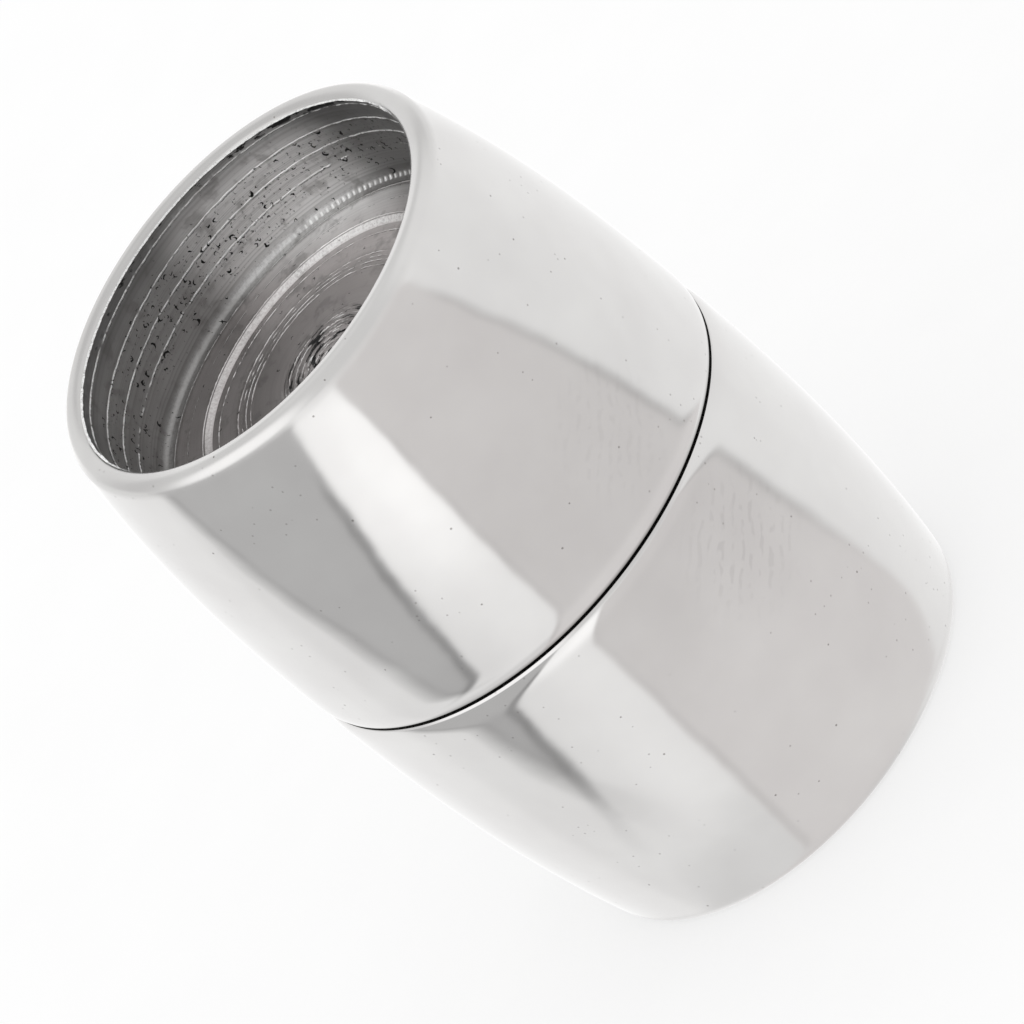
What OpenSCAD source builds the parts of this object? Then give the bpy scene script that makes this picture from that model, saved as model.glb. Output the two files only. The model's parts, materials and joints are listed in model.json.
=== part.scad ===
// Barrel-shaped magnetic clasp for a round cord, shut and standing on the rim of its lower half.
// Origin: middle of the lower rim. +Z runs along the clasp's axis. Lengths in millimetres.

/* [Cord hole] */
// Diameter of the blind hole in each end, which the cord is glued into
hole_d = 10; // [8:0.1:12]
// Depth of the hole, from the rim to its floor
hole_depth = 2.9; // [2:0.1:6]
// Radius in the corner between the hole's wall and its floor
floor_fillet = 0.25; // [0.1:0.05:0.5]
// Width of the ledge round the shallow recess in the hole's floor
ledge_w = 1.3; // [0.8:0.1:2]
// Depth of that recess below the ledge
recess_depth = 0.1; // [0.05:0.01:0.2]
// Diameter of the tool's dimple in the middle of the recess
dimple_d = 2; // [1:0.1:3]
// Depth of the dimple at its centre
dimple_depth = 0.12; // [0.05:0.01:0.3]

/* [Barrel] */
// Steel between the upper hole's floor and the back of the upper magnet
upper_web = 1.8; // [0.6:0.1:4]
// Steel between the lower hole's floor and the back of the lower magnet
lower_web = 2.2; // [0.6:0.1:4]
// Wall beside the hole, measured where the barrel's curve would meet the rim
lip_wall = 0.46; // [0.4:0.01:1]
// How much the radius grows from the rim to the seam
bulge = 0.81; // [0.4:0.01:1.6]
// Squareness of the barrel's curve: 2 is an even bow, more keeps the middle straighter
bulge_power = 2.5; // [2:0.1:4]
// Distance from the hole's wall out to the rim's crest
rim_crest = 0.22; // [0.15:0.01:0.28]
// Height of the rounding outside the crest, along the axis
rim_round = 0.45; // [0.2:0.01:0.6]
// Drop from the crest in to the sharp edge at the mouth of the hole
mouth_drop = 0.11; // [0.05:0.01:0.2]
// Radius on each half's outer edge at the seam
seam_round = 0.15; // [0.05:0.01:0.3]
// Gap between the two shells at the seam, kept by the magnets, which meet first
seam_gap = 0.08; // [0.04:0.01:0.2]

/* [Magnets] */
// Diameter of each disc magnet
magnet_d = 9; // [6:0.5:10]
// Thickness of each disc magnet
magnet_h = 4; // [2:0.5:6]
// Glue gap round the magnet in its pocket
glue_gap = 0.05; // [0.02:0.01:0.15]
// Chamfer on the magnet's edges
magnet_chamfer = 0.15; // [0.05:0.05:0.4]
// Chamfer round the mouth of the magnet's pocket
pocket_chamfer = 0.1; // [0.05:0.05:0.3]

/* [Hidden] */
$fn = 128;

// Flat land along the rim's crest, which the clasp stands on
rim_land = 0.03;
// Slant of the rim's inner rounding where it ends in the mouth's sharp edge, in degrees from the axis
mouth_slant = 30;
// Straight steps along each half's curve, and steps round each small arc
barrel_steps = 24;
arc_steps = 8;

hole_r = hole_d / 2;
recess_r = hole_r - ledge_w;
dimple_r = dimple_d / 2;
magnet_r = magnet_d / 2;
pocket_r = magnet_r + glue_gap;
mating_face = seam_gap / 2;
rim_r = hole_r + lip_wall;
seam_r = rim_r + bulge;
crest_r = hole_r + rim_crest;
upper_length = magnet_h + upper_web + hole_depth;
lower_length = magnet_h + lower_web + hole_depth;

// Radius of the barrel at height z above the seam, on a half of the given length
function barrel_r(z, length) = seam_r - bulge * pow(z / length, bulge_power);

// Slant of the barrel at height z, in degrees inward from the axis' direction
function barrel_slant(z, length) =
    atan(bulge * bulge_power / length * pow(z / length, bulge_power - 1));

// Points along an ellipse from angle a to angle b round a centre [r, z], with the half widths [along r, along z]
function oval(centre, half, a, b) =
    [for (i = [0:arc_steps]) let (turn = a + (b - a) * i / arc_steps)
        centre + [half.x * cos(turn), half.y * sin(turn)]];

// The same along a circle
function arc(centre, radius, a, b) = oval(centre, [radius, radius], a, b);

// Angle on the rim's outer rounding at which it leaves the barrel's curve without a kink
function rim_start(length) =
    let (
        z = length - rim_round / 2,
        lean = tan(barrel_slant(z, length)) * rim_round / (barrel_r(z, length) - crest_r)
    )
    asin((sqrt(1 + 4 * lean * lean) - 1) / (2 * lean));

// Barrel curve from the rounded seam edge up to the height where the rim's edge begins
function barrel_curve(z_low, z_high, length) =
    [for (i = [1:barrel_steps - 1]) let (z = z_low + (z_high - z_low) * i / barrel_steps) [barrel_r(z, length), z]];

// Section of one half, from the seam's middle plane at z = 0 to its rim at z = length
function half_section(length) =
    let (
        start = rim_start(length),
        rim_z = length - rim_round * (1 - sin(start)),
        outer_r = crest_r + rim_land / 2,
        outer_half = (barrel_r(rim_z, length) - outer_r) / cos(start),
        inner_r = crest_r - rim_land / 2,
        inner_half = [(inner_r - hole_r) / cos(mouth_slant), mouth_drop / (1 - sin(mouth_slant))],
        seam_z = mating_face + seam_round,
        floor_z = length - hole_depth,
        recess_z = floor_z - recess_depth
    )
    concat(
        [[0, magnet_h], [pocket_r, magnet_h]],
        [[pocket_r, mating_face + pocket_chamfer], [pocket_r + pocket_chamfer, mating_face]],
        arc([barrel_r(seam_z, length) - seam_round, seam_z], seam_round, -90, 0),
        barrel_curve(seam_z, rim_z, length),
        oval([outer_r, length - rim_round], [outer_half, rim_round], start, 90),
        oval([inner_r, length - inner_half.y], inner_half, 90, 180 - mouth_slant),
        arc([hole_r - floor_fillet, floor_z + floor_fillet], floor_fillet, 0, -90),
        [[recess_r + recess_depth, floor_z], [recess_r, recess_z]],
        [[dimple_r, recess_z], [0, recess_z - dimple_depth]]
    );

// One turned steel half, standing on its mating face
module half_shell(length) {
    rotate_extrude() polygon(half_section(length));
}

// One disc magnet with chamfered edges, its front face at z = 0
module disc_magnet() {
    rotate_extrude() polygon([
        [0, 0],
        [magnet_r - magnet_chamfer, 0],
        [magnet_r, magnet_chamfer],
        [magnet_r, magnet_h - magnet_chamfer],
        [magnet_r - magnet_chamfer, magnet_h],
        [0, magnet_h]
    ]);
}

module upper_shell() {
    color("silver") translate([0, 0, lower_length]) half_shell(upper_length);
}

module lower_shell() {
    color("silver") translate([0, 0, lower_length]) mirror([0, 0, 1]) half_shell(lower_length);
}

module upper_magnet() {
    color("gainsboro") translate([0, 0, lower_length]) disc_magnet();
}

module lower_magnet() {
    color("gainsboro") translate([0, 0, lower_length]) mirror([0, 0, 1]) disc_magnet();
}

upper_shell();
lower_shell();
upper_magnet();
lower_magnet();
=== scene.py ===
"""A barrel-shaped magnetic clasp of polished steel, shut and standing on the rim of its lower half."""

import json
import math
from collections import namedtuple
from functools import reduce

import bpy
from mathutils import Matrix, Vector, noise


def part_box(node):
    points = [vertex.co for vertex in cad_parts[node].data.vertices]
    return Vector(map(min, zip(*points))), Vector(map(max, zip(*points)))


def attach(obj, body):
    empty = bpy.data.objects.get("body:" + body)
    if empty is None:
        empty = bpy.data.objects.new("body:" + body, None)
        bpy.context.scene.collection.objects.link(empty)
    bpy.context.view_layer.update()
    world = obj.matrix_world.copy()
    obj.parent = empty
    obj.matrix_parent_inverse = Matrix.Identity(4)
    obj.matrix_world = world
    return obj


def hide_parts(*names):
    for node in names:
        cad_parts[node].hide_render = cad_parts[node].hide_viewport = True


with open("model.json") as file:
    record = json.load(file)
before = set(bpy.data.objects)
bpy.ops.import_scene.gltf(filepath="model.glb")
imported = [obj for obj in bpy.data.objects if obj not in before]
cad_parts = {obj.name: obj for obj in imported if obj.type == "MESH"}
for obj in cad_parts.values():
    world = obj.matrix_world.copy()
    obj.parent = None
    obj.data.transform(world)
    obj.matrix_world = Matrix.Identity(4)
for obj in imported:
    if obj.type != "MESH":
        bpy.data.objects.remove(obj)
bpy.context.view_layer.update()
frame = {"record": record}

# Lengths below are in millimetres and angles in degrees, unless a name says otherwise.
MM = 0.001

# Barrel: wall beside the hole, squareness of the curve, and the rounded edges of the rim
LIP_WALL = 0.46
BULGE_POWER = 2.5
RIM_CREST = 0.22
RIM_ROUND = 0.45
RIM_LAND = 0.03
MOUTH_DROP = 0.11
MOUTH_SLANT = 30
# The buffing wheel has drawn each half's edge in beside the seam, and rounded it
ROLL_WIDTH = 0.66
ROLL_DROP = 0.07
SEAM_EDGE = 0.2
SEAM_CORNER = 36

# Hole for the cord, which was turned in a few passes that each left a thin torn ridge on the wall
HOLE_DEPTH = 2.9
FLOOR_FILLET = 0.25
PASS_DEPTHS = (0.34, 0.89, 1.41, 1.92)
RIDGE_RISE = 0.02
RIDGE_WIDTH = 0.022
RIDGE_FOOT = 0.014
RIDGE_WAKE = 0.10
RIDGE_CLEAR = 0.04
BURR_REACH = 0.055
BURR_DROP = 0.02
BURR_TORN = 0.25
BURR_MIDDLE = -172
BURR_HALF_SPAN = 112
BURR_FADE = 30
PASS_TORN = (0.60, 0.50, 0.60, 0.80)
PASS_LEAN = 0.085
PASS_LEAN_FROM = 85
PASS_SHAKE = 0.015
PASS_FADE = 0.3
WALL_SPACING = 0.12

# Floor of the hole: slope into the shallow recess, dimple, and the ridges that the tool left
RECESS_OUTER = 3.80
RECESS_INNER = 3.66
RECESS_DEPTH = 0.1
DIMPLE_R = 1.0
DIMPLE_DEPTH = 0.12
FLOOR_RIDGE_WIDTH = 0.045
FLOOR_SPACING = 0.14
# Ridges on the floor: how far from the axis, how high, and how much of each is torn away
Ridge = namedtuple("Ridge", "radius height torn")
FLOOR_RIDGES = [Ridge(*row) for row in (
    (4.72, 0.012, 0.4), (4.32, 0.005, 1.0), (3.86, 0.018, 0.35), (3.46, 0.010, 0.8), (2.88, 0.016, 0.7),
    (2.76, 0.012, 0.9), (2.64, 0.010, 0.9), (2.50, 0.018, 0.6), (1.33, 0.020, 1.0), (1.12, 0.026, 0.8),
    (0.94, 0.030, 0.6), (0.78, 0.020, 0.9), (0.62, 0.024, 0.6), (0.46, 0.020, 0.7), (0.30, 0.012, 0.6),
)]

# Magnet pocket and mating face
GLUE_GAP = 0.05
POCKET_CHAMFER = 0.1
MAGNET_CHAMFER = 0.15

# Segments round each kind of surface; neighbours differ by a factor of two at most
OUTSIDE_SEGMENTS = 352
INSIDE_SEGMENTS = OUTSIDE_SEGMENTS // 2
HOLE_SEGMENTS = 704
# Rows of faces along each part of the section
SEAM_EDGE_ROWS = 6
ROLL_ROWS = 14
BARREL_ROWS = 40
RIM_ROWS = 16
MOUTH_ROWS = 8
FILLET_ROWS = 8
MAGNET_EDGE_ROWS = 6
# Edges that turn by more stay sharp in the shading
SHARP_ANGLE = 28

# Camera: how it looks at the clasp, and how the photograph's frame sits on it
CAMERA_ELEVATION = 29.45
CAMERA_ROLL = 50.65
CAMERA_DISTANCE = 487.3
CAMERA_LENS = 764.9
CAMERA_SENSOR = 36
SEAM_LEFT_OF_CENTRE = 0.149
SEAM_ABOVE_CENTRE = 0.300

FLOOR_SIZE = 1400


def clasp_sizes():
    """The sizes that the frame gives, in millimetres."""
    upper_low, upper_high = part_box("upper_shell")
    lower_low, lower_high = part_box("lower_shell")
    magnet_low, magnet_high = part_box("upper_magnet")
    mounts = {mount["name"]: mount for mount in frame["record"]["mounts"]}
    Sizes = namedtuple("Sizes", "seam gap seam_r hole_r upper_length lower_length magnet_r magnet_h")
    seam = (upper_low.z + lower_high.z) / 2
    return Sizes(
        seam=seam / MM,
        gap=(upper_low.z - lower_high.z) / MM,
        seam_r=min(upper_high.x, -upper_low.x) / MM,
        hole_r=mounts["upper_cord_hole"]["dims"]["r_mm"],
        upper_length=(upper_high.z - seam) / MM,
        lower_length=(seam - lower_low.z) / MM,
        magnet_r=magnet_high.x / MM,
        magnet_h=(magnet_high.z - magnet_low.z) / MM,
    )


SIZE = clasp_sizes()
RIM_R = SIZE.hole_r + LIP_WALL
BULGE = SIZE.seam_r - RIM_R


# A ring of points of a turned solid. Its zone names the surface from this ring to the next. A ring on a tool
# ridge has a crest: its height, how much is torn away, and the azimuth of its middle if it has one.
Ring = namedtuple("Ring", "radius height count zone crest", defaults=(None,))
Crest = namedtuple("Crest", "height torn middle", defaults=(None,))

# Where each zone lies in the texture square: a strip for what unrolls, a disc for what is flat
Strip = namedtuple("Strip", "bottom scale")
Disc = namedtuple("Disc", "middle scale")
ATLAS = {
    "barrel": Strip(0.01, 0.026),
    "wall": Strip(0.28, 0.036),
    "pocket_wall": Strip(0.42, 0.018),
    "floor": Disc((0.20, 0.72), 0.036),
    "face": Disc((0.56, 0.72), 0.026),
    "pocket_floor": Disc((0.85, 0.72), 0.026),
}
ATLAS_MARGIN = 0.01


def oval_rings(centre, half, start, end, steps, count, zone):
    """Rings along an ellipse of the section, its ends included. Its half widths are (radial, axial)."""
    rings = []
    for i in range(steps + 1):
        angle = math.radians(start + (end - start) * i / steps)
        radius = centre[0] + half[0] * math.cos(angle)
        rings.append(Ring(radius, centre[1] + half[1] * math.sin(angle), count, zone))
    return rings


def arc_rings(centre, radius, start, end, steps, count, zone):
    """The same along a circle."""
    return oval_rings(centre, (radius, radius), start, end, steps, count, zone)


def barrel_radius(height, length):
    """Radius of the barrel at a height from the seam, drawn in beside the seam."""
    near_seam = max(0, 1 - (height - SIZE.gap / 2) / ROLL_WIDTH)
    return SIZE.seam_r - BULGE * (max(0, height) / length) ** BULGE_POWER - ROLL_DROP * near_seam ** 3


def barrel_slant(height, length):
    """Slant of the barrel, in degrees inward from the axis' direction."""
    span = 0.001
    rise = barrel_radius(height - span, length) - barrel_radius(height + span, length)
    return math.degrees(math.atan(rise / (2 * span)))


def face_rings():
    """The magnet's pocket and the mating face, from the axis outwards."""
    pocket_r = SIZE.magnet_r + GLUE_GAP
    half_gap = SIZE.gap / 2
    return [
        Ring(0, SIZE.magnet_h, 1, "pocket_floor"),
        Ring(pocket_r, SIZE.magnet_h, INSIDE_SEGMENTS, "pocket_wall"),
        Ring(pocket_r, half_gap + POCKET_CHAMFER, INSIDE_SEGMENTS, "face"),
        Ring(pocket_r + POCKET_CHAMFER, half_gap, INSIDE_SEGMENTS, "face"),
    ]


def barrel_rings(length):
    """The edge at the seam and the barrel's curve, up to and round the rim's outer edge."""
    count = OUTSIDE_SEGMENTS
    half_gap = SIZE.gap / 2
    centre = half_gap + SEAM_EDGE * math.sin(math.radians(SEAM_CORNER))
    slant = barrel_slant(centre, length)
    edge_top = centre + SEAM_EDGE * math.sin(math.radians(slant))
    edge_r = barrel_radius(edge_top, length) - SEAM_EDGE * math.cos(math.radians(slant))
    rings = arc_rings((edge_r, centre), SEAM_EDGE, -SEAM_CORNER, slant, SEAM_EDGE_ROWS, count, "barrel")
    roll_top = half_gap + ROLL_WIDTH
    start, top = rim_start(length)
    heights = [edge_top + (roll_top - edge_top) * i / ROLL_ROWS for i in range(1, ROLL_ROWS)]
    heights += [roll_top + (top - roll_top) * i / BARREL_ROWS for i in range(BARREL_ROWS)]
    rings += [Ring(barrel_radius(height, length), height, count, "barrel") for height in heights]
    outer_r = SIZE.hole_r + RIM_CREST + RIM_LAND / 2
    half = (barrel_radius(top, length) - outer_r) / math.cos(start)
    centre = (outer_r, length - RIM_ROUND)
    return rings + oval_rings(centre, (half, RIM_ROUND), math.degrees(start), 90, RIM_ROWS, count, "barrel")


def rim_start(length):
    """Angle on the rim's outer rounding at which it leaves the barrel's curve, and its height."""
    height = length - RIM_ROUND / 2
    room = barrel_radius(height, length) - SIZE.hole_r - RIM_CREST
    lean = math.tan(math.radians(barrel_slant(height, length))) * RIM_ROUND / room
    start = math.asin((math.sqrt(1 + 4 * lean * lean) - 1) / (2 * lean))
    return start, length - RIM_ROUND * (1 - math.sin(start))


def wall_rings(length):
    """The rim's inner rounding, the hole's stepped wall and the fillet down to its floor."""
    count = HOLE_SEGMENTS
    slant = math.radians(MOUTH_SLANT)
    width = (RIM_CREST - RIM_LAND / 2) / math.cos(slant)
    drop = MOUTH_DROP / (1 - math.sin(slant))
    centre = (SIZE.hole_r + RIM_CREST - RIM_LAND / 2, length - drop)
    mouth = oval_rings(centre, (width, drop), 90, 180 - MOUTH_SLANT, MOUTH_ROWS, count, "barrel")
    burr = Crest(BURR_REACH, BURR_TORN, BURR_MIDDLE)
    mouth[-1] = mouth[-1]._replace(zone="wall", crest=burr._replace(height=0))
    mouth.append(Ring(SIZE.hole_r, length - MOUTH_DROP - BURR_DROP, count, "wall", burr))
    mouth.append(Ring(SIZE.hole_r, length - MOUTH_DROP - 2 * BURR_DROP, count, "wall"))
    marks = []
    for depth, torn in zip(PASS_DEPTHS, PASS_TORN):
        top = Crest(RIDGE_RISE, torn)
        groove = Crest(-RIDGE_RISE / 3, 1)
        marks += [(depth, None), (depth + RIDGE_FOOT, top), (depth + RIDGE_FOOT + RIDGE_WIDTH, top)]
        marks += [(depth + 2 * RIDGE_FOOT + RIDGE_WIDTH, groove), (depth + RIDGE_WAKE, None)]
    rows = int((HOLE_DEPTH - FLOOR_FILLET - MOUTH_DROP) / WALL_SPACING)
    for i in range(1, rows):
        depth = MOUTH_DROP + WALL_SPACING * i
        if all(not start - RIDGE_CLEAR < depth < start + RIDGE_WAKE + RIDGE_CLEAR for start in PASS_DEPTHS):
            marks.append((depth, None))
    marks.sort(key=lambda mark: mark[0])
    wall = [Ring(SIZE.hole_r, length - depth, count, "wall", crest) for depth, crest in marks]
    centre = (SIZE.hole_r - FLOOR_FILLET, length - HOLE_DEPTH + FLOOR_FILLET)
    fillet = arc_rings(centre, FLOOR_FILLET, 0, -90, FILLET_ROWS, count, "wall")
    fillet[-1] = fillet[-1]._replace(zone="floor")
    return mouth + wall + fillet


def floor_depth(radius):
    """How far the floor lies below the ledge, at a radius."""
    slope = (RECESS_OUTER - radius) / (RECESS_OUTER - RECESS_INNER)
    depth = RECESS_DEPTH * min(1, max(0, slope))
    return depth + DIMPLE_DEPTH * max(0, 1 - radius / DIMPLE_R)


def floor_segments(radius):
    """Segments round the floor: fewer towards the middle, where a ring is short."""
    count = HOLE_SEGMENTS
    limit = SIZE.hole_r * 0.66
    while radius < limit and count > 32:
        count //= 2
        limit /= 2
    return count


def floor_rings(length):
    """The hole's floor, from its fillet in to the axis."""
    marks = {RECESS_OUTER: None, RECESS_INNER: None}
    for ridge in FLOOR_RIDGES:
        marks[ridge.radius + FLOOR_RIDGE_WIDTH / 2] = None
        marks[ridge.radius] = Crest(ridge.height, ridge.torn)
        marks[ridge.radius - FLOOR_RIDGE_WIDTH / 2] = Crest(-ridge.height / 4, ridge.torn)
        marks[ridge.radius - FLOOR_RIDGE_WIDTH] = None
    radius = SIZE.hole_r - FLOOR_FILLET - FLOOR_SPACING
    while radius > 0.1:
        if all(abs(radius - mark) > FLOOR_RIDGE_WIDTH for mark in marks):
            marks[radius] = None
        radius -= FLOOR_SPACING
    rings = [
        Ring(r, length - HOLE_DEPTH - floor_depth(r), floor_segments(r), "floor", marks[r])
        for r in sorted(marks, reverse=True)
    ]
    middle = Ring(0, length - HOLE_DEPTH - floor_depth(0), 1, "floor")
    return rings + [middle]


def left_of_ridge(crest, radius, depth, angle):
    """How much is left of a tool ridge at an angle: it is torn in short lengths and fades in long ones."""
    turn = math.radians(angle)
    along = Vector((math.cos(turn), math.sin(turn), 0)) * radius
    seed = Vector((0, 0, 7 * radius + 5 * depth))
    short = noise.noise(along * 3.2 + seed)
    fine = noise.noise(along * 13 + seed)
    long = noise.noise(along * 0.35 + seed)
    left = 1 - crest.torn * (0.40 - 0.9 * short - 1.2 * fine - 0.8 * long)
    if crest.middle is not None:
        off = abs((angle + 90 - crest.middle + 180) % 360 - 180)
        left *= min(1, max(0, (BURR_HALF_SPAN - off) / BURR_FADE))
    return min(1.3, max(0, left))


def lean_of_pass(radius, depth, angle):
    """How much deeper the wall's rings lie at an angle: the tool fed in as it turned, and it shook."""
    fade_in = min(1, max(0, (depth - 0.1) / PASS_FADE))
    fade_out = min(1, max(0, (HOLE_DEPTH - FLOOR_FILLET - depth) / PASS_FADE))
    on_wall = 1 if radius > SIZE.hole_r - 0.001 else 0
    turn = math.radians(angle)
    shake = noise.noise(Vector((math.cos(turn), math.sin(turn), 0)) * radius * 4 + Vector((0, 0, 9 * depth)))
    lean = PASS_LEAN * math.sin(math.radians(angle - PASS_LEAN_FROM)) + PASS_SHAKE * shake
    return fade_in * fade_out * on_wall * lean


def atlas_point(zone, turn, travel, x, y):
    """Place in the texture square of a point of a turned solid."""
    place = ATLAS[zone]
    if isinstance(place, Strip):
        return ATLAS_MARGIN + turn * (1 - 2 * ATLAS_MARGIN), place.bottom + travel * place.scale
    return place.middle[0] + x * place.scale, place.middle[1] + y * place.scale


def ring_points(rings, side, rim_height):
    """The points of a turned solid in metres, and how much of a tool ridge is left at each of them."""
    points, crests = [], []
    for ring in rings:
        depth = rim_height - ring.height
        for j in range(ring.count):
            angle = 360 * j / ring.count
            radius, height, crest = ring.radius, ring.height, 0
            if ring.zone == "wall":
                height -= lean_of_pass(ring.radius, depth, angle)
            if ring.crest:
                left = left_of_ridge(ring.crest, ring.radius, depth, angle)
                rise = ring.crest.height * left
                radius -= rise if ring.zone == "wall" else 0
                height += rise if ring.zone == "floor" else 0
                crest = -left if rise < 0 else left
            x = radius * math.cos(math.radians(angle))
            y = radius * math.sin(math.radians(angle))
            points.append((x * MM, y * MM, (SIZE.seam + side * height) * MM))
            crests.append(crest)
    return points, crests


def ring_faces(rings, points, side):
    """The faces between neighbouring rings, their corners' places in the texture square, and their zones."""
    faces, places, face_zones = [], [], []
    start, travel = 0, 0
    for i in range(len(rings) - 1):
        pair = rings[i:i + 2]
        starts = (start, start + pair[0].count)
        zone = pair[0].zone
        step = math.hypot(pair[1].radius - pair[0].radius, pair[1].height - pair[0].height)
        if i and rings[i - 1].zone != zone:
            travel = 0
        for corners in strip_faces(pair[0].count, pair[1].count):
            if side < 0:
                corners.reverse()
            face = []
            for which, j in corners:
                index = starts[which] + j % pair[which].count
                x, y = points[index][0] / MM, points[index][1] / MM
                places.append(atlas_point(zone, j / pair[which].count, travel + step * which, x, y))
                face.append(index)
            faces.append(face)
            face_zones.append(zone)
        start = starts[1]
        travel += step
    return faces, places, face_zones


def turned_mesh(name, rings, side, rim_height, slots):
    """A closed turned solid whose heights run from the seam: up where side is 1, and down where it is -1."""
    points, crests = ring_points(rings, side, rim_height)
    faces, places, face_zones = ring_faces(rings, points, side)
    mesh = bpy.data.meshes.new(name)
    mesh.from_pydata(points, [], faces)
    mesh.polygons.foreach_set("material_index", [slots[zone] for zone in face_zones])
    layer = mesh.uv_layers.new(name="OFBake")
    layer.data.foreach_set("uv", [number for place in places for number in place])
    mesh.attributes.new("crest", "FLOAT", "POINT").data.foreach_set("value", crests)
    mesh.shade_smooth()
    mesh.set_sharp_from_angle(angle=math.radians(SHARP_ANGLE))
    mesh.validate()
    return mesh


def strip_faces(low, high):
    """Corners of the faces between two rings, each as (which ring, place round it)."""
    if low == 1:
        return [[(0, 0), (1, j), (1, j + 1)][::-1] for j in range(high)]
    if high == 1:
        return [[(0, j), (0, j + 1), (1, 0)] for j in range(low)]
    if low == high:
        return [[(0, j), (0, j + 1), (1, j + 1), (1, j)] for j in range(low)]
    faces = []
    for j in range(min(low, high)):
        k = 2 * j
        if high > low:
            faces += [[(0, j), (1, k + 1), (1, k)], [(0, j), (0, j + 1), (1, k + 1)]]
            faces += [[(0, j + 1), (1, k + 2), (1, k + 1)]]
        else:
            faces += [[(0, k), (0, k + 1), (1, j)], [(0, k + 1), (1, j + 1), (1, j)]]
            faces += [[(0, k + 1), (0, k + 2), (1, j + 1)]]
    return faces


class Graph:
    """Adds nodes to one tree, so that a formula of sockets and numbers reads as one."""

    def __init__(self, tree):
        self.tree = tree
        self.tree.nodes.clear()

    def add(self, kind, **settings):
        node = self.tree.nodes.new(kind)
        for name, value in settings.items():
            setattr(node, name, value)
        return node

    def plug(self, socket, value):
        if isinstance(value, bpy.types.NodeSocket):
            self.tree.links.new(value, socket)
        else:
            socket.default_value = value

    def fill(self, node, values):
        """The node's outputs, once its inputs of these names have their values."""
        for name, value in values.items():
            self.plug(node.inputs[name], value)
        return node.outputs

    def result(self, node, values, sockets=None, output=0):
        """One of the node's outputs, once its inputs have these values in turn."""
        for socket, value in zip(sockets or node.inputs, values):
            self.plug(socket, value)
        return node.outputs[output]

    def math(self, operation, *values):
        return self.result(self.add("ShaderNodeMath", operation=operation), values)

    def vectors(self, operation, *values):
        return self.result(self.add("ShaderNodeVectorMath", operation=operation), values)

    def plus(self, *values):
        return reduce(lambda total, value: self.math("ADD", total, value), values)

    def times(self, *values):
        return reduce(lambda total, value: self.math("MULTIPLY", total, value), values)

    def minus(self, first, last):
        return self.math("SUBTRACT", first, last)

    def apart(self, first, last):
        """How far two numbers are apart."""
        return self.math("ABSOLUTE", self.minus(first, last))

    def dot(self, parts, vector):
        return self.plus(*[self.times(part, number) for part, number in zip(parts, vector)])

    def smooth(self, value, start, end, first=0.0, last=1.0):
        """Goes smoothly from first to last as value goes from start to end, whichever of those is lower."""
        if start > end:
            start, end, first, last = end, start, last, first
        node = self.add("ShaderNodeMapRange", interpolation_type="SMOOTHSTEP")
        return self.result(node, (value, start, end, first, last))

    def band(self, value, rising, falling):
        """Is 1 in a band of values, which starts and ends smoothly."""
        return self.times(self.smooth(value, *rising), self.smooth(value, *falling))

    def mix(self, share, first, last):
        """Mixes two numbers."""
        node = self.add("ShaderNodeMix", data_type="FLOAT")
        return self.result(node, (share, first, last), node.inputs[:1] + node.inputs[2:4])

    def blend(self, share, first, last):
        """Mixes two colours."""
        node = self.add("ShaderNodeMix", data_type="RGBA")
        return self.result(node, (share, first, last), node.inputs[:1] + node.inputs[6:8], 2)

    def paint(self, colour, *layers):
        """A colour with layers over it, each given by its share and its tone."""
        for share, tone in layers:
            colour = self.blend(share, colour, tone)
        return colour

    def choose(self, share, first, last):
        """Mixes two shaders."""
        return self.result(self.add("ShaderNodeMixShader"), (share, first, last))

    def vector(self, x, y, z):
        return self.result(self.add("ShaderNodeCombineXYZ"), (x, y, z))

    def split(self, vector):
        return self.fill(self.add("ShaderNodeSeparateXYZ"), {"Vector": vector})

    def noise(self, vector, scale, detail=2.0, roughness=0.5):
        values = {"Vector": vector, "Scale": scale, "Detail": detail, "Roughness": roughness}
        return self.fill(self.add("ShaderNodeTexNoise"), values)["Fac"]

    def cells(self, vector, scale):
        """Distance to the nearest of many scattered points, and a random number for each of them."""
        node = self.add("ShaderNodeTexVoronoi", feature="F1")
        found = self.fill(node, {"Vector": vector, "Scale": scale})
        return found["Distance"], self.split(found["Color"])[0]

    def tears(self, where, spacing, small, large, share):
        """Crescent tears scattered in a plane, from small to large. Only a share of the places has one."""
        node = self.add("ShaderNodeTexVoronoi", feature="F1", voronoi_dimensions="2D")
        found = self.fill(node, {"Vector": where, "Scale": 1 / spacing})
        chance, lean, size = self.split(found["Color"])
        size = self.times(size, size)
        reach = self.plus(self.times(size, large - small), small)
        across, along = self.split(self.vectors("SUBTRACT", where, found["Position"]))[:2]
        turn = self.times(lean, math.tau)
        outer = self.hypot(across, along)
        shift = self.times(reach, 0.55)
        inner_across = self.minus(across, self.times(shift, self.math("COSINE", turn)))
        inner_along = self.minus(along, self.times(shift, self.math("SINE", turn)))
        inner = self.hypot(inner_across, inner_along)
        blur = 0.2 * small
        inside = self.smooth(self.minus(reach, outer), -blur, blur)
        hollow = self.smooth(self.minus(inner, self.times(reach, 0.80)), -blur, blur)
        return self.times(inside, hollow, self.math("LESS_THAN", chance, share))

    def hypot(self, x, y):
        return self.math("SQRT", self.plus(self.times(x, x), self.times(y, y)))


def direction(azimuth, elevation):
    """A direction in the clasp's frame: azimuth 0 is -Y, the camera's side, and 90 is +X."""
    turn, lift = math.radians(azimuth), math.radians(elevation)
    return Vector((math.sin(turn) * math.cos(lift), -math.cos(turn) * math.cos(lift), math.sin(lift)))


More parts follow.
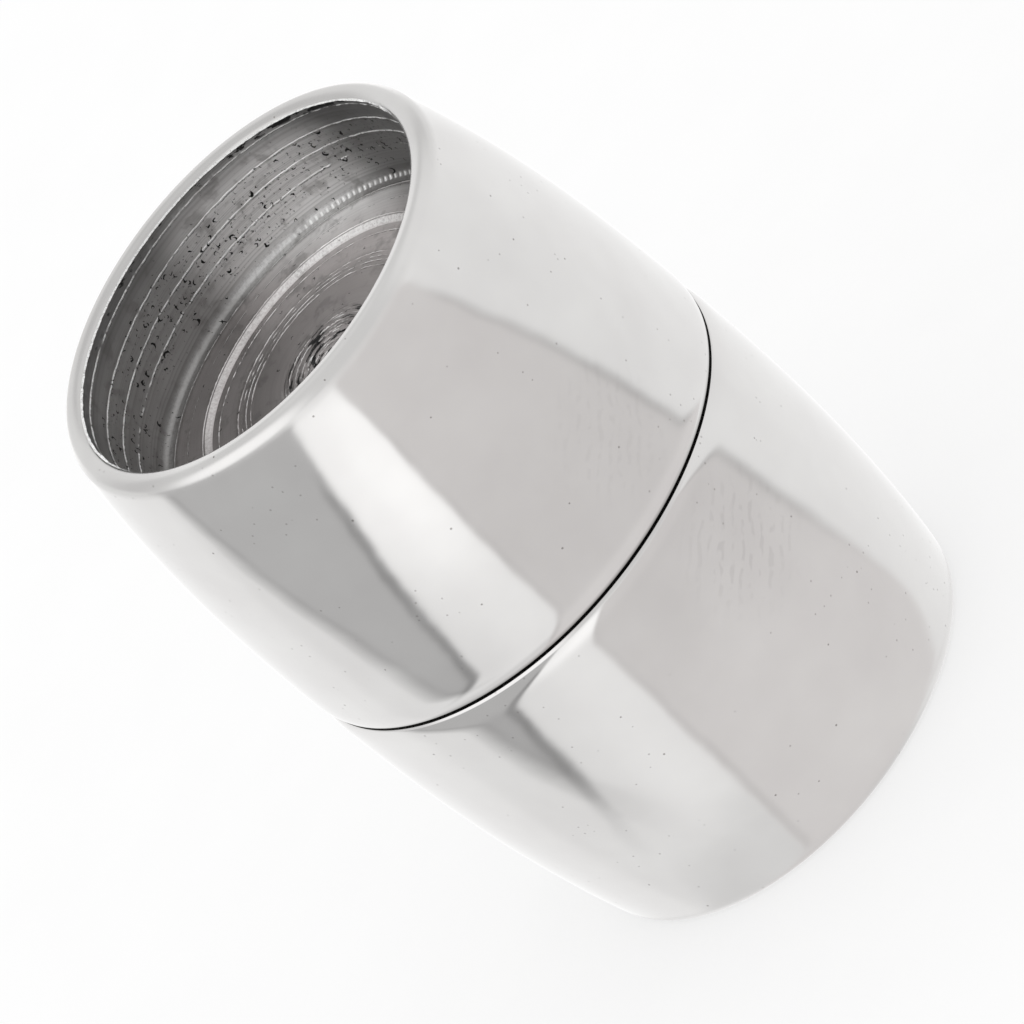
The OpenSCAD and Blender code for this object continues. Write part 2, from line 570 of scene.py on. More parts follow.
# Straight edges of the light tent's cloth panels, each given by two directions (azimuth, elevation) that it
# passes through. An azimuth grows to the right, seen from the clasp.
TENT_EDGES = {
    "shade_left": ((-111, -12), (-86, -32)),
    "shade_right": ((-34.5, -5.6), (-73, -33.3)),
    "front_left": ((-11, -9), (-33, -42)),
    "front_right": ((46, -6), (81, -33)),
    "front_low": ((100, -42.5), (81, -49.4)),
}
# A panel: the edge on its left and those on its right, the elevation of its top, the roundness of its
# corners, and how sharply it starts on the left
TentPanel = namedtuple("TentPanel", "left rights top corner start")
SHADE = TentPanel("shade_left", ("shade_right",), -3, 3.0, 0.4)
STRIP = TentPanel("shade_right", ("front_left",), -4.6, 6.0, 1)
FRONT = TentPanel("front_left", ("front_right", "front_under"), -3, 3.0, 1)
PANEL_BLUR = 1.2
# A darker line in the cloth: the edge that it follows, how far it lies to the right of that, its half width,
# its lowest and highest elevation, and how much of the light it leaves
TentLine = namedtuple("TentLine", "edge offset half_width low high left")
LEFT_LINE = TentLine("shade_left", 0, 3.0, -36, -3, 0.84)
TENT_LINES = (
    TentLine("shade_right", -1.3, 1.4, -35, -12, 0.59),
    TentLine("front_left", 1.5, 1.1, -52, -10, 0.93),
    TentLine("front_left", 1.5, 1.4, -52, -38, 0.93),
    TentLine("front_right", 0, 1.4, -36, -8, 0.84),
    TentLine("front_right", 0, 1.0, -30, -18, 0.88),
    TentLine("front_right", -0.8, 1.8, -31, -31, 0.84),
)
LINE_BLUR = 0.9
# Elevations between which a panel's brightness changes
SHADE_FADE = (-37, -25)
STRIP_FADE = (-30, -16)
FRONT_FADE = (-26, -14)
# Elevations between which the shade sets in, the other panels change at their feet, and the ground ends
SHADE_FOOT = (-41, -34)
STRIP_FOOT = (-40, -47)
FRONT_FOOT = (-29, -39)
GROUND = (-72, -60)
# Degrees from the shade's left edge between which the cloth beside it becomes plain, far from it and near it,
# and from its right edge between which the strip grows brighter
LEFT_FAR = (-25, -60)
LEFT_NEAR = (-10, 10)
STRIP_START = (2, 16)
# Azimuths and elevations between which the front panel is cut off low on its right
CUT_AZIMUTHS = (60, 72)
CUT_ELEVATIONS = (-33, -38)
NO_CUT = -20
# Parts of a direction along -Y that start the panels and the cloth behind, along Y that end the warmer light,
# along X that start the line on the left, and along Z that start the sky and the lamp overhead
PANELS_FRONT = (-0.45, -0.30)
BEHIND = (-0.85, -0.95)
WARM_ENDS = (0.45, 0.30)
LINE_ON_LEFT = (-0.3, -0.6)
HORIZON = (-0.06, 0.02)
OVERHEAD = (0.90, 0.97)
# Brightness of the tent's cloth
CLOTH = 1.10
LEFT = 1.03
SHADE_TOP = 0.635
SHADE_LOW = 0.50
STRIP_TOP = 1.42
STRIP_LOW = 1.12
STRIP_END = 0.94
STRIP_SIDE = 0.93
FRONT_TOP = 0.87
FRONT_MIDDLE = 0.83
FRONT_LOW = 0.91
BELOW = 0.88
BACK = 1.45
SKY = 0.86
ZENITH = 0.92
# Colours of plain light and of the light from the front panel
WHITE = (1, 1, 1, 1)
WARM = (1, 0.976, 0.972, 1)
# Soft lamps above the horizon: where each is, its brightness, and the cosines at which it ends and is full
Lamp = namedtuple("Lamp", "azimuth elevation light edge full")
LAMPS = (
    Lamp(-62, 12, 1.38, 0.72, 0.93),
    Lamp(85, 12, 1.02, 0.60, 0.90),
    Lamp(180, 5, 1.10, 0.60, 0.90),
)
# Plain light that the floor gets
ON_FLOOR = 1.07


def tent_edge(graph, parts, upper, lower):
    """About how many degrees a direction lies to the right of a straight edge of the tent."""
    normal = direction(*upper).cross(direction(*lower)).normalized()
    if normal.dot(direction(upper[0] + 30, upper[1])) < 0:
        normal = -normal
    return graph.times(graph.dot(parts, normal), math.degrees(1))


def panel_share(graph, edges, elevation, panel):
    """How fully a direction lies in a panel."""
    inside = graph.times(edges[panel.left], panel.start)
    for right in panel.rights:
        inside = graph.math("SMOOTH_MIN", inside, graph.times(edges[right], -1), panel.corner)
    inside = graph.math("SMOOTH_MIN", inside, graph.minus(panel.top, elevation), panel.corner)
    return graph.smooth(inside, -PANEL_BLUR, PANEL_BLUR)


def line_share(graph, edges, elevation, line):
    """How fully a direction lies in a darker line of the cloth."""
    off = graph.apart(edges[line.edge], line.offset)
    share = graph.smooth(off, line.half_width + LINE_BLUR, line.half_width - LINE_BLUR)
    top = graph.smooth(elevation, line.high + 3, line.high - 4)
    return graph.times(share, top, graph.smooth(elevation, line.low - 6, line.low + 4))


def tent_front(graph, parts):
    """Brightness of the tent's panels below the horizon, and where the warmer front panel is."""
    x, y, z = parts
    elevation = graph.times(graph.math("ARCSINE", z), math.degrees(1))
    towards_camera = graph.times(y, -1)
    azimuth = graph.times(graph.math("ARCTAN2", x, towards_camera), math.degrees(1))
    edges = {name: tent_edge(graph, parts, *ends) for name, ends in TENT_EDGES.items()}
    cut = graph.times(graph.smooth(azimuth, *CUT_AZIMUTHS), graph.smooth(elevation, *CUT_ELEVATIONS))
    edges["front_under"] = graph.mix(cut, NO_CUT, edges["front_low"])

    light = graph.mix(graph.smooth(edges["shade_left"], *LEFT_FAR), LEFT, CLOTH)
    light = graph.mix(graph.smooth(edges["shade_left"], *LEFT_NEAR), light, CLOTH)
    shade = graph.times(panel_share(graph, edges, elevation, SHADE), graph.smooth(elevation, *SHADE_FOOT))
    light = graph.mix(shade, light, graph.smooth(elevation, *SHADE_FADE, SHADE_LOW, SHADE_TOP))
    strip_light = graph.smooth(elevation, *STRIP_FADE, STRIP_LOW, STRIP_TOP)
    strip_light = graph.mix(graph.smooth(elevation, *STRIP_FOOT), strip_light, STRIP_END)
    strip_light = graph.times(strip_light, graph.smooth(edges["shade_right"], *STRIP_START, STRIP_SIDE, 1.0))
    light = graph.mix(panel_share(graph, edges, elevation, STRIP), light, strip_light)
    front_light = graph.smooth(elevation, *FRONT_FADE, FRONT_MIDDLE, FRONT_TOP)
    front_light = graph.mix(graph.smooth(elevation, *FRONT_FOOT), front_light, FRONT_LOW)
    front = panel_share(graph, edges, elevation, FRONT)
    light = graph.mix(front, light, front_light)

    # A straight edge would show again on the far side, so the line on the left is kept to the left
    on_left = graph.smooth(x, *LINE_ON_LEFT)
    share = graph.times(line_share(graph, edges, elevation, LEFT_LINE), on_left)
    light = graph.times(light, graph.mix(share, 1.0, LEFT_LINE.left))
    for line in TENT_LINES:
        share = line_share(graph, edges, elevation, line)
        light = graph.times(light, graph.mix(share, 1.0, line.left))

    light = graph.mix(graph.smooth(elevation, *GROUND), BELOW, light)
    light = graph.mix(graph.smooth(towards_camera, *PANELS_FRONT), CLOTH, light)
    return graph.mix(graph.smooth(towards_camera, *BEHIND), light, BACK), front


def tent_sky(graph, parts):
    """Brightness of the tent above the horizon: plain, with soft lamps on its sides and overhead."""
    light = SKY
    for lamp in LAMPS:
        towards = graph.dot(parts, direction(lamp.azimuth, lamp.elevation))
        light = graph.mix(graph.smooth(towards, lamp.edge, lamp.full), light, lamp.light)
    return graph.mix(graph.smooth(parts[2], *OVERHEAD), light, ZENITH)


def build_surroundings():
    """A white light tent round the clasp, which only reflections show; the camera sees plain white."""
    world = bpy.data.worlds.new("light_tent")
    bpy.context.scene.world = world
    world.use_nodes = True
    graph = Graph(world.node_tree)
    where = graph.add("ShaderNodeTexCoord").outputs["Generated"]
    parts = graph.split(where)
    panels, front = tent_front(graph, parts)
    light = graph.mix(graph.smooth(parts[2], *HORIZON), panels, tent_sky(graph, parts))
    warm = graph.times(front, graph.smooth(parts[2], *HORIZON, 1.0, 0.0), graph.smooth(parts[1], *WARM_ENDS))
    tent = background(graph, graph.blend(warm, WHITE, WARM), light)
    rays = graph.add("ShaderNodeLightPath").outputs
    shown = graph.choose(rays["Is Diffuse Ray"], tent, background(graph, WHITE, ON_FLOOR))
    shown = graph.choose(rays["Is Camera Ray"], shown, background(graph, WHITE, 1.0))
    graph.fill(graph.add("ShaderNodeOutputWorld"), {"Surface": shown})


def background(graph, colour, strength):
    """Light from all round, of one colour and strength."""
    return graph.fill(graph.add("ShaderNodeBackground"), {"Color": colour, "Strength": strength})[0]


# The floor's paper, and the light that it gives off itself, so that it stays near white beside the clasp
PAPER = ((0.36, 0.36, 0.36, 1), (0.38, 0.38, 0.38, 1))
PAPER_GLOW = 0.6


def build_floor():
    """A plain pale floor. The polished steel mirrors the tent's lower cloth instead of it."""
    half = FLOOR_SIZE / 2 * MM
    mesh = bpy.data.meshes.new("studio_floor")
    corners = [(-half, -half, 0), (half, -half, 0), (half, half, 0), (-half, half, 0)]
    mesh.from_pydata(corners, [], [(0, 1, 2, 3)])
    floor = bpy.data.objects.new("studio_floor", mesh)
    bpy.context.scene.collection.objects.link(floor)
    material = bpy.data.materials.new("white_paper")
    material.use_nodes = True
    graph = Graph(material.node_tree)
    fibre = graph.noise(graph.add("ShaderNodeTexCoord").outputs["Object"], 400, 2)
    surface = {"Roughness": 0.9, "Specular IOR Level": 0.0, "Emission Strength": PAPER_GLOW}
    surface |= {"Base Color": graph.blend(fibre, *PAPER), "Emission Color": WHITE}
    shader = graph.fill(graph.add("ShaderNodeBsdfPrincipled"), surface)[0]
    graph.fill(graph.add("ShaderNodeOutputMaterial"), {"Surface": shader})
    mesh.materials.append(material)
    floor.visible_glossy = False
    floor.visible_shadow = False


def build_camera():
    """The camera, at the photograph's angle and turned about its own axis as that is."""
    lift, roll = math.radians(CAMERA_ELEVATION), math.radians(CAMERA_ROLL)
    level_right = Vector((1, 0, 0))
    level_up = Vector((0, math.sin(lift), math.cos(lift)))
    back = Vector((0, -math.cos(lift), math.sin(lift)))
    right = level_right * math.cos(roll) - level_up * math.sin(roll)
    up = level_right * math.sin(roll) + level_up * math.cos(roll)
    seam_centre = Vector((0, 0, SIZE.seam))
    place = seam_centre + right * SEAM_LEFT_OF_CENTRE - up * SEAM_ABOVE_CENTRE + back * CAMERA_DISTANCE
    data = bpy.data.cameras.new("camera")
    data.lens = CAMERA_LENS
    data.sensor_width = CAMERA_SENSOR
    data.clip_end = 5
    camera = bpy.data.objects.new("camera", data)
    turn = Matrix((right, up, back)).transposed().to_4x4()
    camera.matrix_world = Matrix.Translation(place * MM) @ turn
    bpy.context.scene.collection.objects.link(camera)
    bpy.context.scene.camera = camera


def new_material(name):
    """A material with a metal shader, its graph, the place on the clasp in millimetres, and the shader."""
    material = bpy.data.materials.new(name)
    material.use_nodes = True
    graph = Graph(material.node_tree)
    where = graph.add("ShaderNodeTexCoord").outputs["Object"]
    scale = graph.add("ShaderNodeVectorMath", operation="SCALE")
    place = graph.fill(scale, {"Vector": where, "Scale": 1 / MM})[0]
    shader = graph.add("ShaderNodeBsdfPrincipled")
    shader.inputs["Metallic"].default_value = 1.0
    graph.fill(graph.add("ShaderNodeOutputMaterial"), {"Surface": shader.outputs[0]})
    return material, graph, place, shader


def coat(graph, shader, colour, roughness, height):
    """Gives a shader its colour, its roughness, and a bump whose height is in millimetres."""
    normal = graph.fill(graph.add("ShaderNodeBump"), {"Distance": MM, "Height": height})["Normal"]
    graph.fill(shader, {"Base Color": colour, "Roughness": roughness, "Normal": normal})


# Colours of the polished steel, from its darker to its lighter clouds, and of what lies over it
STEEL = ((0.620, 0.607, 0.602, 1), (0.725, 0.720, 0.710, 1))
RIM_SHADE_TONE = (0.22, 0.215, 0.21, 1)
SEAM_SHADOW = (0.12, 0.115, 0.11, 1)
RIPPLE_TONE = (0.56, 0.55, 0.545, 1)
SPECK_TONE = (0.40, 0.39, 0.38, 1)
PIT_TONE = (0.35, 0.34, 0.33, 1)
# Height of the polish's long and short waves
WAVE_HEIGHT = 0.011
SHORT_WAVE_HEIGHT = 0.0012
# Distances from the rim's crest between which it grows rougher and takes its painted shade, its roughness,
# and where along Y, on the camera's side, that painted shade lies
RIM_REACH = (0.46, 0.24)
RIM_ROUGHNESS = 0.24
RIM_SHADE_SIDE = (-4.0, -1.5)
# Heights between which the shadow at the seam fades out above, and sets in below
SHADOW_TOP = (SIZE.seam + 0.17, SIZE.seam + 0.04)
SHADOW_FOOT = (SIZE.seam + 0.01, SIZE.seam + 0.02)
# Patch of ripples: its azimuth, its distance from the seam, its reach, and its strength above the seam. Then
# the radians of a ripple's wave for a millimetre of X and of Z, and how far a noise shifts it.
CHATTER_SIDE = 25
CHATTER_FROM_SEAM = 2.2
CHATTER_REACH = (2.1, 0.6)
CHATTER_ABOVE = 0.45
RIPPLE_BY_X = 12.8
RIPPLE_BY_Z = -18.8
RIPPLE_DRIFT = 9


def chatter(graph, x, y, z):
    """How strongly a place is marked by the faint ripples beside the seam, where the buffing wheel shook."""
    middle = direction(CHATTER_SIDE, 0) * SIZE.seam_r
    off_axis = graph.hypot(graph.minus(x, middle.x), graph.minus(y, middle.y))
    off_seam = graph.minus(graph.apart(z, SIZE.seam), CHATTER_FROM_SEAM)
    near = graph.smooth(graph.hypot(off_axis, off_seam), *CHATTER_REACH)
    place = graph.vector(x, y, z)
    drift = graph.times(graph.noise(place, 1.4, 1), RIPPLE_DRIFT)
    phase = graph.plus(graph.times(x, RIPPLE_BY_X), graph.times(z, RIPPLE_BY_Z), drift)
    wave = graph.smooth(graph.math("SINE", phase), -0.2, 0.8)
    dashes = graph.smooth(graph.noise(place, 3.4, 1), 0.44, 0.60)
    fainter = graph.smooth(z, SIZE.seam - 0.1, SIZE.seam + 0.1, 1.0, CHATTER_ABOVE)
    return graph.times(wave, dashes, near, fainter)


def polish_pits(graph, place):
    """Where the few tiny pits in the polish are."""
    distance, chance = graph.cells(place, 2.4)
    return graph.times(graph.smooth(distance, 0.085, 0.05), graph.smooth(chance, 0.78, 0.79))


def polish_specks(graph, place, x):
    """Where the finer specks in the polish are, most of them in clumps on the sides."""
    on_side = graph.smooth(graph.math("ABSOLUTE", x), 1.5, 4.0)
    crowd = graph.times(on_side, graph.smooth(graph.noise(place, 0.45, 2), 0.40, 0.62))
    distance, chance = graph.cells(place, 4.2)
    rare = graph.math("LESS_THAN", chance, graph.plus(graph.times(crowd, 0.60), 0.04))
    return graph.times(graph.smooth(distance, 0.15, 0.08), rare)


def polished_steel(name, rim_z):
    """Mirror-polished steel with the slight waves of a buffing wheel, tiny dark pits, a rougher rim that
    painted shade darkens on the camera's side, and painted shadow at the seam.
    """
    material, graph, place, shader = new_material(name)
    x, y, z = graph.split(place)
    cloud = graph.noise(place, 0.5, 3)
    on_rim = graph.smooth(graph.apart(z, rim_z), *RIM_REACH)
    rim_shade = graph.times(on_rim, graph.smooth(y, *RIM_SHADE_SIDE))
    colour = graph.paint(
        graph.blend(cloud, *STEEL),
        # painted shade: the rim is darker on the camera's side
        (graph.times(rim_shade, 0.22), RIM_SHADE_TONE),
        (graph.times(graph.band(z, SHADOW_TOP, SHADOW_FOOT), 0.65), SEAM_SHADOW),
        (graph.times(chatter(graph, x, y, z), 0.50), RIPPLE_TONE),
        (graph.times(polish_specks(graph, place, x), 0.6), SPECK_TONE),
        (polish_pits(graph, place), PIT_TONE),
    )
    roughness = graph.mix(on_rim, graph.smooth(cloud, 0.3, 0.7, 0.08, 0.11), RIM_ROUGHNESS)
    waves = graph.times(graph.noise(place, 0.55, 1), WAVE_HEIGHT)
    short_waves = graph.times(graph.noise(place, 1.6, 1), SHORT_WAVE_HEIGHT)
    coat(graph, shader, colour, roughness, graph.plus(waves, short_waves))
    return material


def warped(graph, place, scale, reach):
    """The place, shifted by a noise, by up to half the reach along each axis."""
    shift = graph.fill(graph.add("ShaderNodeTexNoise"), {"Vector": place, "Scale": scale})["Color"]
    centred = graph.vectors("SUBTRACT", shift, (0.5, 0.5, 0.5))
    return graph.vectors("MULTIPLY_ADD", centred, (reach, reach, reach), place)


# Colours of the hole's wall and floor, from darker to lighter clouds, and of what lies over them, painted
# shade, shadow and highlights among them. A hollow is between two fine rings, and a groove is behind a ridge.
WALL = ((0.40, 0.395, 0.39, 1), (0.55, 0.545, 0.54, 1))
FLOOR = ((0.50, 0.465, 0.46, 1), (0.64, 0.605, 0.60, 1))
PAINTED_SHADE_TONE = (0.10, 0.10, 0.10, 1)
RECESS_SHADE_TONE = (0.17, 0.155, 0.15, 1)
PAINTED_HIGHLIGHT_TONE = (0.98, 0.975, 0.97, 1)
STAIN_TONE = (0.20, 0.19, 0.185, 1)
HOLLOW_TONE = (0.10, 0.095, 0.09, 1)
STEP_HIGHLIGHT_TONE = (0.98, 0.97, 0.96, 1)
RIDGE_AND_HIGHLIGHT_TONE = (0.94, 0.94, 0.93, 1)
RIDGE_SHADOW_TONE = (0.10, 0.10, 0.10, 1)
SCRATCH_DARK = (0.03, 0.03, 0.03, 1)
SCRATCH_BRIGHT = (0.85, 0.84, 0.83, 1)
FILLET_SHADE_TONE = (0.18, 0.165, 0.16, 1)
BEAD_HIGHLIGHT_TONE = (0.98, 0.98, 0.97, 1)
SMEAR_TONE = (0.03, 0.03, 0.03, 1)
TEAR_TONE = (0.025, 0.025, 0.025, 1)
# Azimuths of the sides on which the hole's wall and floor are brightest: painted highlight lies there, and
# painted shade away from them
PAINTED_LIGHT_SIDE = 159
PAINTED_LIGHT_SIDE_OF_FLOOR = 138
# Radii and depths between which each part of the hole sets in or ends
FLOOR_BY_RADIUS = (4.75, 4.65)
SMEAR_TOP = (0.13, 0.15)
SMEAR_FOOT = (0.36, 0.24)
FILLET_BY_DEPTH = (2.62, 2.74)
FILLET_BY_RADIUS = (4.58, 4.66)
BEADS_OUTER = (4.975, 4.93)
BEADS_INNER = (4.85, 4.89)
STEP_INNER = (3.63, 3.72)
STEP_OUTER = (3.87, 3.80)
DIMPLE_INNER = (0.22, 0.30)
DIMPLE_OUTER = (1.62, 1.35)
# Beads round the fillet, and the turns from +X in radians between which they and the smear stand out
BEADS_ROUND = 188
BEADS_START = (0.42, 0.62)
BEADS_END = (1.38, 1.05)
SMEAR_START = (0.38, 0.50)
SMEAR_END = (1.18, 1.05)
# Tears, each kind by its spacing and its smallest and largest reach, and how finely and far they are shifted
LARGE_TEARS = (0.34, 0.030, 0.105)
MIDDLING_TEARS = (0.17, 0.018, 0.055)
SMALL_TEARS = (0.09, 0.008, 0.024)
FLOOR_TEARS = (0.26, 0.010, 0.050)
TEAR_SHIFT = (9, 0.10)


def torn_pits(graph, place, radius, depth, turn):
    """Small dark tears that the tool left in the wall, most of them below its second pass."""
    unrolled = graph.vector(graph.times(turn, SIZE.hole_r), depth, 0)
    unrolled = warped(graph, unrolled, *TEAR_SHIFT)
    clumps = graph.noise(place, 0.9, 2)
    most = graph.times(graph.smooth(depth, 0.80, 1.05), graph.smooth(depth, 2.70, 1.9, 0.15, 1.0))
    dense = graph.times(most, graph.smooth(clumps, 0.32, 0.62, 0.25, 1.0))
    large = graph.tears(unrolled, *LARGE_TEARS, graph.times(dense, 0.55))
    middling = graph.tears(unrolled, *MIDDLING_TEARS, graph.times(dense, 0.70))
    few = graph.plus(graph.times(dense, 0.45), 0.05)
    small = graph.tears(unrolled, *SMALL_TEARS, graph.times(few, graph.smooth(depth, 0.3, 0.8)))
    torn = graph.math("MAXIMUM", graph.math("MAXIMUM", large, middling), graph.times(small, 0.8))
    x, y = graph.split(place)[:2]
    flat = graph.tears(warped(graph, graph.vector(x, y, 0), *TEAR_SHIFT), *FLOOR_TEARS, 0.22)
    return graph.mix(graph.smooth(radius, 4.80, 4.70), torn, graph.times(flat, 0.8))


def hole_colour_and_painted_light(graph, place, x, y, radius, depth):
    """Colour of the hole's bare surface, browner on the floor, with painted shade at the mouth, away from one
    side and in the recess, and a painted highlight on that side.
    """
    cloud = graph.noise(place, 0.9, 3)
    stain = graph.noise(warped(graph, place, 2, 0.5), 1.7, 3, 0.6)
    on_floor = graph.smooth(radius, *FLOOR_BY_RADIUS)
    wall_side, floor_side = direction(PAINTED_LIGHT_SIDE, 0), direction(PAINTED_LIGHT_SIDE_OF_FLOOR, 0)
    side = [graph.mix(on_floor, wall_side[i], floor_side[i]) for i in range(2)]
    towards = graph.times(graph.dot((x, y), side), 1 / SIZE.hole_r)
    wall_painted_shade = graph.plus(
        graph.smooth(towards, 0.98, 0.80, 0.0, 0.26),
        graph.smooth(depth, 0.1, 1.1, 0.46, 0.0),
        graph.smooth(x, 3.0, 4.6, 0.0, 0.22),
        graph.smooth(x, -2.4, -4.0, 0.0, -0.14),
    )
    painted_shade = graph.mix(on_floor, wall_painted_shade, graph.smooth(towards, 0.7, 0.1, 0.0, 0.20))
    low = graph.mix(on_floor, graph.smooth(depth, 0.1, 0.9), graph.smooth(radius, 3.0, 4.0))
    facing = graph.mix(on_floor, graph.smooth(towards, 0.84, 0.995), graph.smooth(towards, 0.60, 0.97))
    painted_highlight = graph.times(facing, low, graph.mix(on_floor, 0.80, 0.92))
    return graph.paint(
        graph.blend(on_floor, graph.blend(cloud, *WALL), graph.blend(cloud, *FLOOR)),
        # painted shade: darker near the mouth and away from the lit side
        (graph.math("MINIMUM", painted_shade, 0.64), PAINTED_SHADE_TONE),
        # painted shade: the floor darkens in the recess towards its middle
        (graph.smooth(radius, 3.2, 2.5, 0.0, 0.38), RECESS_SHADE_TONE),
        # painted highlight on the lit side, deeper in the wall and towards the floor's edge
        (painted_highlight, PAINTED_HIGHLIGHT_TONE),
        (graph.smooth(stain, 0.52, 0.70, 0.0, 0.45), STAIN_TONE),
    )


def bead_row(graph, place, radius, turn, on_fillet):
    """Where the row of beads on the fillet is, and how high a place on it lies."""
    row = graph.times(on_fillet, graph.smooth(radius, *BEADS_OUTER), graph.smooth(radius, *BEADS_INNER))
    beads = graph.math("SINE", graph.times(turn, BEADS_ROUND))
    uneven = graph.smooth(graph.noise(place, 2.6, 1), 0.35, 0.60, 0.45, 1.0)
    return row, graph.times(beads, row, graph.times(graph.band(turn, BEADS_START, BEADS_END), uneven))


def step_painted_highlight(graph, x, radius, ragged):
    """How strongly the slope down into the recess is painted with a highlight: raggedly, and more on the
    right.
    """
    uneven = graph.smooth(ragged, 0.35, 0.62, 0.12, 0.62)
    on_right = graph.smooth(x, -1.5, 2.2, 0.55, 1.2)
    return graph.times(graph.band(radius, STEP_INNER, STEP_OUTER), uneven, on_right)


def dimple_scratches(graph, radius, turn):
    """Where the dark and where the bright scratches in and round the dimple are."""
    near = graph.band(radius, DIMPLE_INNER, DIMPLE_OUTER)
    polar = graph.vector(graph.times(radius, 10), graph.times(turn, 1.6), 0)
    torn = graph.noise(polar, 1.0, 3, 0.65)
    dark, bright = graph.smooth(torn, 0.47, 0.41), graph.smooth(torn, 0.60, 0.68)
    return graph.times(near, dark), graph.times(near, bright)


def mouth_smear(graph, x, y, z, depth, turn):
    """How dark the smear of torn metal under the mouth is. Most of it is on the far side."""
    smear = graph.noise(graph.vector(x, y, graph.times(z, 2.5)), 2.4, 3, 0.65)
    more = graph.band(turn, SMEAR_START, SMEAR_END)
    smear = graph.smooth(graph.plus(smear, graph.times(more, 0.10)), 0.56, 0.62)
    return graph.times(graph.band(depth, SMEAR_TOP, SMEAR_FOOT), smear)


def turned_hole(name, rim_z):
    """The hole as the tool left it, with painted light and shade: satin rings, bright torn ridges, dark
    tears, stains, and beads.
    """
    material, graph, place, shader = new_material(name)
    x, y, z = graph.split(place)
    radius = graph.hypot(x, y)
    depth = graph.apart(z, rim_z)
    turn = graph.math("ARCTAN2", y, x)
    on_floor = graph.smooth(radius, *FLOOR_BY_RADIUS)
    on_fillet = graph.times(graph.smooth(depth, *FILLET_BY_DEPTH), graph.smooth(radius, *FILLET_BY_RADIUS))
    run = graph.minus(graph.plus(depth, SIZE.hole_r), radius)
    drift = graph.times(graph.noise(place, 0.6, 2), 0.10)
    rings = graph.noise(graph.vector(graph.plus(run, drift), 0, 0), 11, 4, 0.75)
    grain = graph.noise(place, 22, 2, 0.6)
    ragged = graph.noise(place, 15, 3, 0.7)
    crest = graph.add("ShaderNodeAttribute", attribute_name="crest").outputs["Fac"]
    bead_place, bead_height = bead_row(graph, place, radius, turn, on_fillet)
    scratch_dark, scratch_bright = dimple_scratches(graph, radius, turn)
    hollow = graph.times(graph.smooth(rings, 0.56, 0.38, 0.0, 0.30), graph.mix(on_floor, 1.0, 0.4))
    ridge = graph.times(graph.smooth(crest, 0.1, 0.9), graph.smooth(grain, 0.30, 0.52, 0.35, 1.0))
    colour = graph.paint(
        hole_colour_and_painted_light(graph, place, x, y, radius, depth),
        (hollow, HOLLOW_TONE),
        # painted highlight on the slope into the recess
        (step_painted_highlight(graph, x, radius, ragged), STEP_HIGHLIGHT_TONE),
        # the torn ridges and the mouth's burr: bright metal, with a painted highlight over it
        (ridge, RIDGE_AND_HIGHLIGHT_TONE),
        # painted shadow in the groove behind each ridge
        (graph.smooth(crest, -0.25, -0.8, 0.0, 0.7), RIDGE_SHADOW_TONE),
        (scratch_dark, SCRATCH_DARK),
        (scratch_bright, SCRATCH_BRIGHT),
        # painted shade, ragged, on the fillet in the hole's corner
        (graph.times(on_fillet, graph.smooth(ragged, 0.3, 0.6, 0.45, 0.20)), FILLET_SHADE_TONE),
        # painted highlight on the tops of the beads
        (graph.times(bead_place, graph.smooth(bead_height, -0.1, 0.7, 0.08, 1.0)), BEAD_HIGHLIGHT_TONE),
        (mouth_smear(graph, x, y, z, depth, turn), SMEAR_TONE),
        (torn_pits(graph, place, radius, depth, turn), TEAR_TONE),
    )
    wall_rough = graph.smooth(rings, 0.3, 0.7, 0.40, 0.50)
    floor_rough = graph.smooth(rings, 0.3, 0.7, 0.28, 0.36)
    relief = graph.times(rings, graph.mix(on_floor, 0.003, 0.0018))
    height = graph.plus(relief, graph.times(grain, 0.0012), graph.times(bead_height, 0.006))
    coat(graph, shader, colour, graph.mix(on_floor, wall_rough, floor_rough), height)
    shader.inputs["Anisotropic"].default_value = 0.6
    shader.inputs["Anisotropic Rotation"].default_value = 0.25
    tangent = graph.add("ShaderNodeTangent", direction_type="RADIAL", axis="Z")
    graph.plug(shader.inputs["Tangent"], tangent.outputs[0])
    return material


# Colours of the turned face and of the magnets' nickel, each from its darker to its lighter clouds
FACE = ((0.55, 0.545, 0.535, 1), (0.62, 0.615, 0.605, 1))
NICKEL = ((0.66, 0.62, 0.56, 1), (0.72, 0.69, 0.64, 1))


def turned_face(name):
    """The mating face and the magnet's pocket: faced off with fine rings."""
    material, graph, place, shader = new_material(name)
    x, y = graph.split(place)[:2]
    rings = graph.noise(graph.vector(graph.hypot(x, y), 0, 0), 22, 4, 0.6)
    colour = graph.blend(graph.noise(place, 0.7, 3), *FACE)
    coat(graph, shader, colour, graph.smooth(rings, 0.3, 0.7, 0.18, 0.28), graph.times(rings, 0.002))
    return material


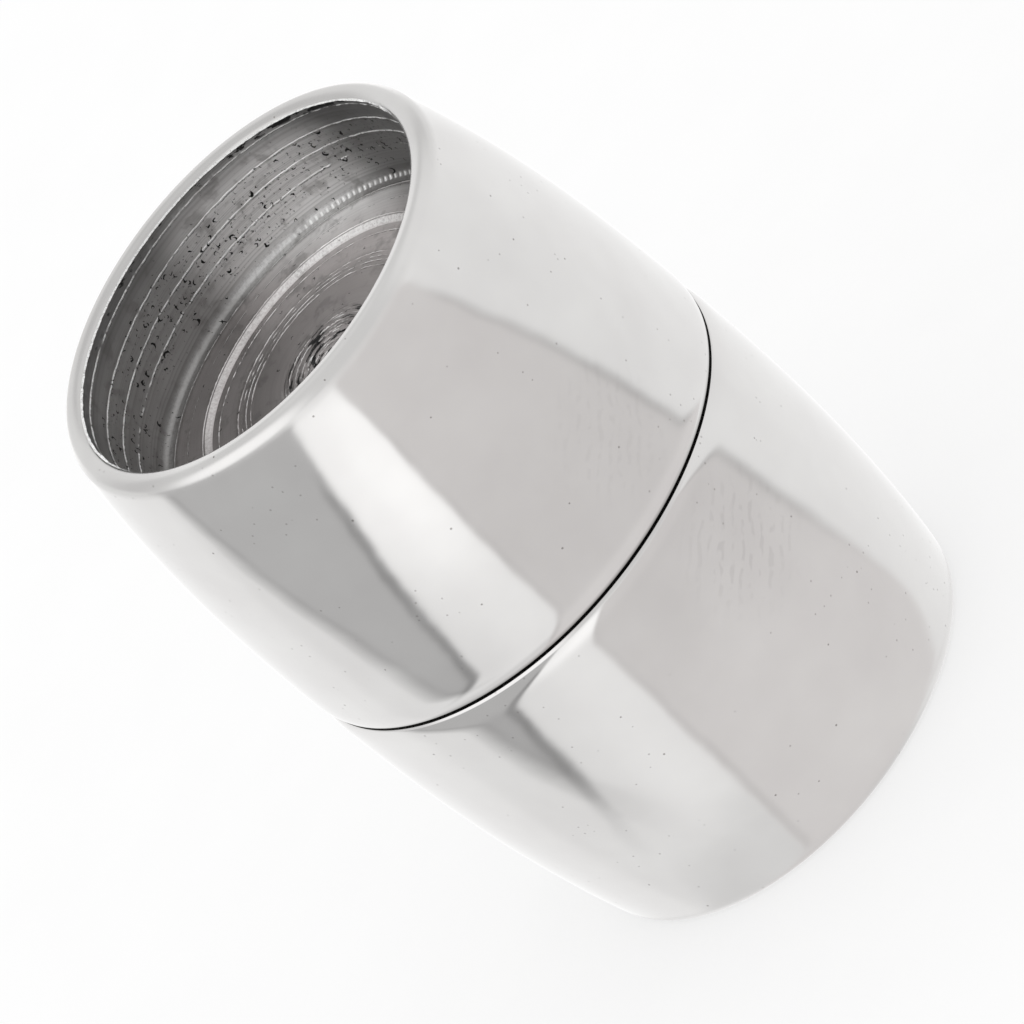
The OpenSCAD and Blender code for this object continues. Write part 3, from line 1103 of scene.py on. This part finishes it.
def nickel_plate(name):
    """Bright nickel plating on the magnets, slightly dulled by handling."""
    material, graph, place, shader = new_material(name)
    cloud = graph.noise(place, 1.2, 4)
    height = graph.times(graph.noise(place, 2.5, 2), 0.0012)
    coat(graph, shader, graph.blend(cloud, *NICKEL), graph.smooth(cloud, 0.3, 0.7, 0.12, 0.22), height)
    return material


def place_piece(name, mesh, materials, body, node):
    """Adds a piece to the scene in place of a CAD node."""
    for material in materials:
        mesh.materials.append(material)
    piece = bpy.data.objects.new(name, mesh)
    bpy.context.scene.collection.objects.link(piece)
    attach(piece, body)
    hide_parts(node)


def build_shell(name, length, side, body):
    """One turned steel half."""
    slots = {"barrel": 0, "wall": 1, "floor": 1, "face": 2, "pocket_wall": 2, "pocket_floor": 2}
    rings = face_rings() + barrel_rings(length) + wall_rings(length) + floor_rings(length)
    mesh = turned_mesh(name + "_turned", rings, side, length, slots)
    rim_z = SIZE.seam + side * length
    materials = [
        polished_steel(name + "_polish", rim_z),
        turned_hole(name + "_hole", rim_z),
        turned_face(name + "_face"),
    ]
    place_piece(name + "_turned", mesh, materials, body, name)


def build_magnet(name, side, body):
    """One plated disc magnet with rounded edges, its front face at the seam's middle."""
    edge, rows, count = MAGNET_CHAMFER, MAGNET_EDGE_ROWS, INSIDE_SEGMENTS
    edge_r, back = SIZE.magnet_r - edge, SIZE.magnet_h
    rings = [Ring(0, 0, 1, "face")]
    rings += arc_rings((edge_r, edge), edge, -90, 0, rows, count, "pocket_wall")
    rings += arc_rings((edge_r, back - edge), edge, 0, 90, rows, count, "pocket_wall")
    rings[-1] = rings[-1]._replace(zone="pocket_floor")
    rings.append(Ring(0, back, 1, "pocket_floor"))
    slots = {"face": 0, "pocket_wall": 0, "pocket_floor": 0}
    mesh = turned_mesh(name + "_disc", rings, side, 0, slots)
    place_piece(name + "_disc", mesh, [nickel_plate(name + "_plate")], body, name)


bpy.context.scene.view_settings.view_transform = "Standard"
build_camera()
build_surroundings()
build_floor()
build_shell("upper_shell", SIZE.upper_length, 1, "upper_half")
build_shell("lower_shell", SIZE.lower_length, -1, "lower_half")
build_magnet("upper_magnet", 1, "upper_half")
build_magnet("lower_magnet", -1, "lower_half")
